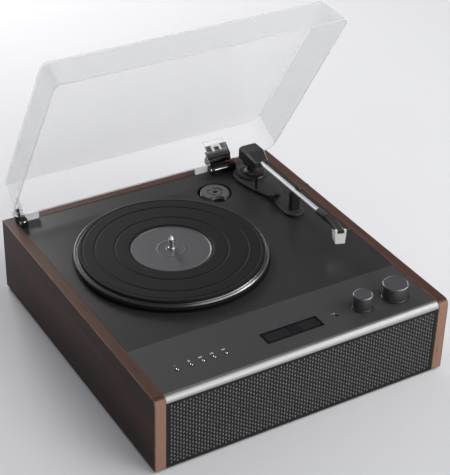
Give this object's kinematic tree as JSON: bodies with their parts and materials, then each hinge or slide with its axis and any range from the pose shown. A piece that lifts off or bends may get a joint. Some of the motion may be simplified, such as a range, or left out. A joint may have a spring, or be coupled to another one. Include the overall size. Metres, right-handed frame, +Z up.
{
  "type": "record player",
  "caption": "Record player in a dark wooden case: belt-driven platter, pivoted tonearm, control panel with keys and knobs, built-in speakers behind a mesh grille, clear hinged cover.",
  "frame": {"origin": "middle of the whole part's bounds with the cover open, level with the underside of the feet", "axes": "+X to the right seen from the front, +Y from the front to the back, +Z up"},
  "size_m": [0.412, 0.4438, 0.395],
  "materials": {
    "walnut": "satin dark walnut veneer",
    "floor_board": "plain painted board",
    "fibre_board": "raw fibre board",
    "graphite": "satin",
    "graphite_light": "satin",
    "satin_metal": "satin, polished edges",
    "dark_metal": "satin",
    "chrome": "polished",
    "brass": "turned",
    "black_plastic": "satin",
    "grey_plastic": "satin",
    "white_plastic": "gloss",
    "rubber": "matt",
    "clear_plastic": "clear, polished",
    "circuit_board": "solder mask",
    "cone_paper": "matt pulp"
  },
  "bodies": {
    "case": {"panel_left": "walnut", "panel_right": "walnut", "panel_back": "walnut", "panel_floor": "floor_board", "foot_front_left": "rubber", "foot_front_right": "rubber", "foot_rear_left": "rubber", "foot_rear_right": "rubber", "deck_plate": "graphite", "control_panel": "graphite_light", "front_trim": "satin_metal", "grille": "dark_metal", "baffle": "fibre_board", "speaker_left": "dark_metal", "speaker_cone_left": "cone_paper", "speaker_right": "dark_metal", "speaker_cone_right": "cone_paper", "spindle_bearing": "brass", "motor": "satin_metal", "drive_belt": "rubber", "encoder_volume": "grey_plastic", "encoder_tuning": "grey_plastic", "control_board": "circuit_board", "display_lens": "black_plastic", "main_board": "circuit_board", "socket_plate": "black_plastic", "power_inlet": "black_plastic", "phono_jacks": "brass", "arm_plinth": "black_plastic", "arm_rest": "black_plastic", "hinge_block_right": "black_plastic", "hinge_block_left": "black_plastic", "guide_left": "clear_plastic", "guide_right": "clear_plastic"},
    "platter_set": {"platter": "satin_metal", "platter_mat": "rubber", "spindle": "chrome"},
    "pulley": {"motor_pulley": "brass"},
    "adapter": {"single_adapter": "grey_plastic"},
    "volume": {"knob_volume": "dark_metal"},
    "tuning": {"knob_tuning": "dark_metal"},
    "key_1": {"button_1": "chrome"},
    "key_2": {"button_2": "chrome"},
    "key_3": {"button_3": "chrome"},
    "key_4": {"button_4": "chrome"},
    "key_5": {"button_5": "chrome"},
    "arm_swivel": {"arm_yoke": "black_plastic"},
    "arm": {"arm_housing": "black_plastic", "arm_tube": "satin_metal", "counterweight": "dark_metal", "headshell": "black_plastic", "cartridge": "white_plastic", "stylus": "white_plastic"},
    "clip": {"rest_clip": "grey_plastic"},
    "lift": {"lift_bar": "black_plastic"},
    "lever": {"cue_lever": "black_plastic"},
    "cover_set": {"cover": "clear_plastic", "hinge_leaf_right": "dark_metal", "hinge_leaf_left": "dark_metal", "spring_clip": "chrome"}
  },
  "joints": [
    {"name": "cover_hinge", "type": "hinge", "parent": "case", "child": "cover_set", "pos_m": [0, 0.19961, 0.1188], "axis": [1, 0, 0], "range_deg": [0, 58.5]},
    {"name": "platter_spin", "type": "hinge", "parent": "case", "child": "platter_set", "pos_m": [-0.048, 0.02911, 0.11], "axis": [0, 0, 1], "continuous": true},
    {"name": "pulley_spin", "type": "hinge", "parent": "case", "child": "pulley", "pos_m": [-0.1074, -0.03029, 0.1], "axis": [0, 0, 1], "continuous": true},
    {"name": "adapter_lift", "type": "slide", "parent": "case", "child": "adapter", "axis": [0, 0, 1], "range_m": [0, 0.02]},
    {"name": "volume_turn", "type": "hinge", "parent": "case", "child": "volume", "pos_m": [0.1025, -0.18189, 0.115], "axis": [0, 0, 1], "range_deg": [-140, 140]},
    {"name": "tuning_turn", "type": "hinge", "parent": "case", "child": "tuning", "pos_m": [0.1514, -0.18189, 0.115], "axis": [0, 0, 1], "continuous": true},
    {"name": "key_1_press", "type": "slide", "parent": "case", "child": "key_1", "axis": [0, 0, -1], "range_m": [0, 0.001], "stiffness_N_per_m": 500, "springref_m": -0.0002},
    {"name": "key_2_press", "type": "slide", "parent": "case", "child": "key_2", "axis": [0, 0, -1], "range_m": [0, 0.001], "stiffness_N_per_m": 500, "springref_m": -0.0002},
    {"name": "key_3_press", "type": "slide", "parent": "case", "child": "key_3", "axis": [0, 0, -1], "range_m": [0, 0.001], "stiffness_N_per_m": 500, "springref_m": -0.0002},
    {"name": "key_4_press", "type": "slide", "parent": "case", "child": "key_4", "axis": [0, 0, -1], "range_m": [0, 0.001], "stiffness_N_per_m": 500, "springref_m": -0.0002},
    {"name": "key_5_press", "type": "slide", "parent": "case", "child": "key_5", "axis": [0, 0, -1], "range_m": [0, 0.001], "stiffness_N_per_m": 500, "springref_m": -0.0002},
    {"name": "arm_swing", "type": "hinge", "parent": "case", "child": "arm_swivel", "pos_m": [0.148, 0.15411, 0.12], "axis": [0, 0, -1], "range_deg": [0, 46]},
    {"name": "arm_tilt", "type": "hinge", "parent": "arm_swivel", "child": "arm", "pos_m": [0.148, 0.15411, 0.1395], "axis": [-1, 0, 0], "range_deg": [0, 1.8]},
    {"name": "clip_turn", "type": "hinge", "parent": "case", "child": "clip", "pos_m": [0.1544, 0.04, 0.1429], "axis": [0, -1, 0], "range_deg": [0, 180]},
    {"name": "lever_turn", "type": "hinge", "parent": "case", "child": "lever", "pos_m": [0.14, 0.08111, 0.1146], "axis": [-1, 0, 0], "range_deg": [0, 50]},
    {"name": "lift_rise", "type": "slide", "parent": "case", "child": "lift", "axis": [0, 0, 1], "range_m": [0, 0.0034]}
  ],
  "couplings": [
    {"joint": "pulley_spin", "follows": "platter_spin", "ratio": 10.714},
    {"joint": "lever_turn", "follows": "lift_rise", "rad_per_m": 256}
  ]
}
